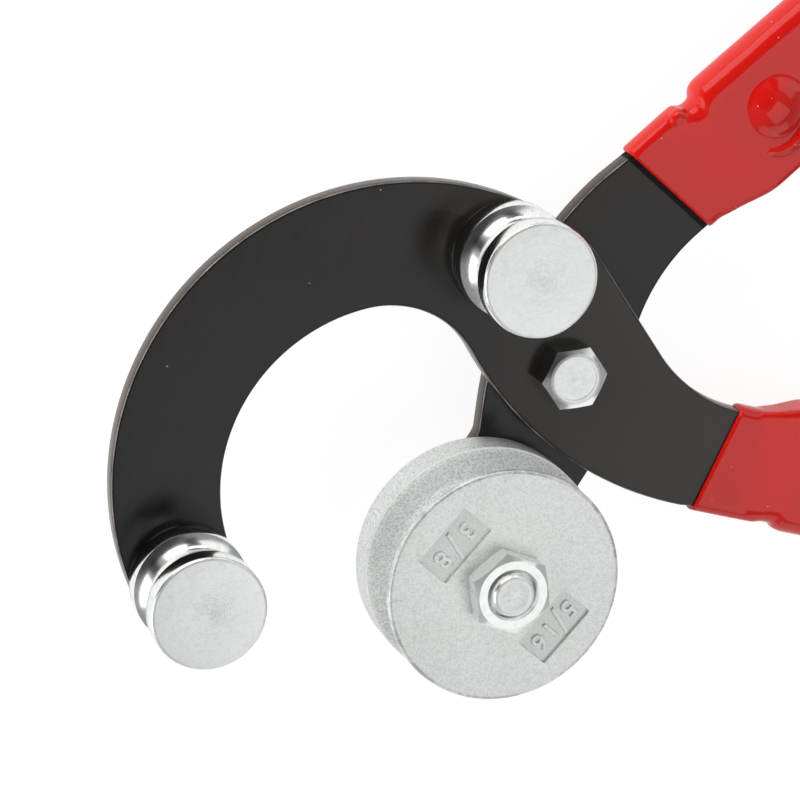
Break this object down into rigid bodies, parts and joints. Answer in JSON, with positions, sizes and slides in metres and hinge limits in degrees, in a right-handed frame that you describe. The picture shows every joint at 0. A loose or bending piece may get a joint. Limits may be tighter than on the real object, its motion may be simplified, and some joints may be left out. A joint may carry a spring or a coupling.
{
  "type": "tube bending pliers",
  "caption": "Lever tube bending pliers with red dipped handles, a hooked black plate with grooved posts and a round die with tube grooves.",
  "frame": {"origin": "centre of the pivot bolt's end face, on the pivot axis, on the side on which the tool lies", "axes": "+Z along the pivot axis to the front, where the posts and the die stand; +X from the pivot between the two handles at rest"},
  "size_m": [0.3457, 0.2924, 0.0442],
  "materials": {
    "black_paint": "gloss black enamel on steel plate, with rubbed edges",
    "bright_zinc": "bright zinc plating on turned steel, fine turning marks",
    "cast_zinc": "zinc plating on a cast and turned die, slightly sandy",
    "bare_steel": "plain steel under the grips",
    "red_dip": "glossy dipped vinyl with soft drips and bumps",
    "nylon": "pale nylon locking ring"
  },
  "bodies": {
    "hook_lever": {"hook_plate": "black_paint", "tip_post": "bright_zinc", "root_post": "bright_zinc", "pivot_bolt": "bright_zinc", "pivot_washer": "bright_zinc", "pivot_lock_nut": "bright_zinc", "pivot_nut_insert": "nylon", "hook_handle_channel": "bare_steel", "hook_handle_rivet_near": "bare_steel", "hook_handle_rivet_far": "bare_steel", "hook_handle_grip": "red_dip"},
    "die_lever": {"die_plate": "black_paint", "die_shoulder_bolt": "bright_zinc", "die_nut": "bright_zinc", "die_handle_channel": "bare_steel", "die_handle_rivet_near": "bare_steel", "die_handle_rivet_far": "bare_steel", "die_handle_grip": "red_dip"},
    "die": {"bending_die": "cast_zinc"}
  },
  "joints": [
    {"name": "lever_hinge", "type": "hinge", "parent": "hook_lever", "child": "die_lever", "pos_m": [0, 0, 0.01525], "axis": [0, 0, 1], "range_deg": [-47, 9]},
    {"name": "die_turn", "type": "hinge", "parent": "die_lever", "child": "die", "pos_m": [-0.02768, -0.03583, 0.0265], "axis": [0, 0, 1], "continuous": true}
  ]
}
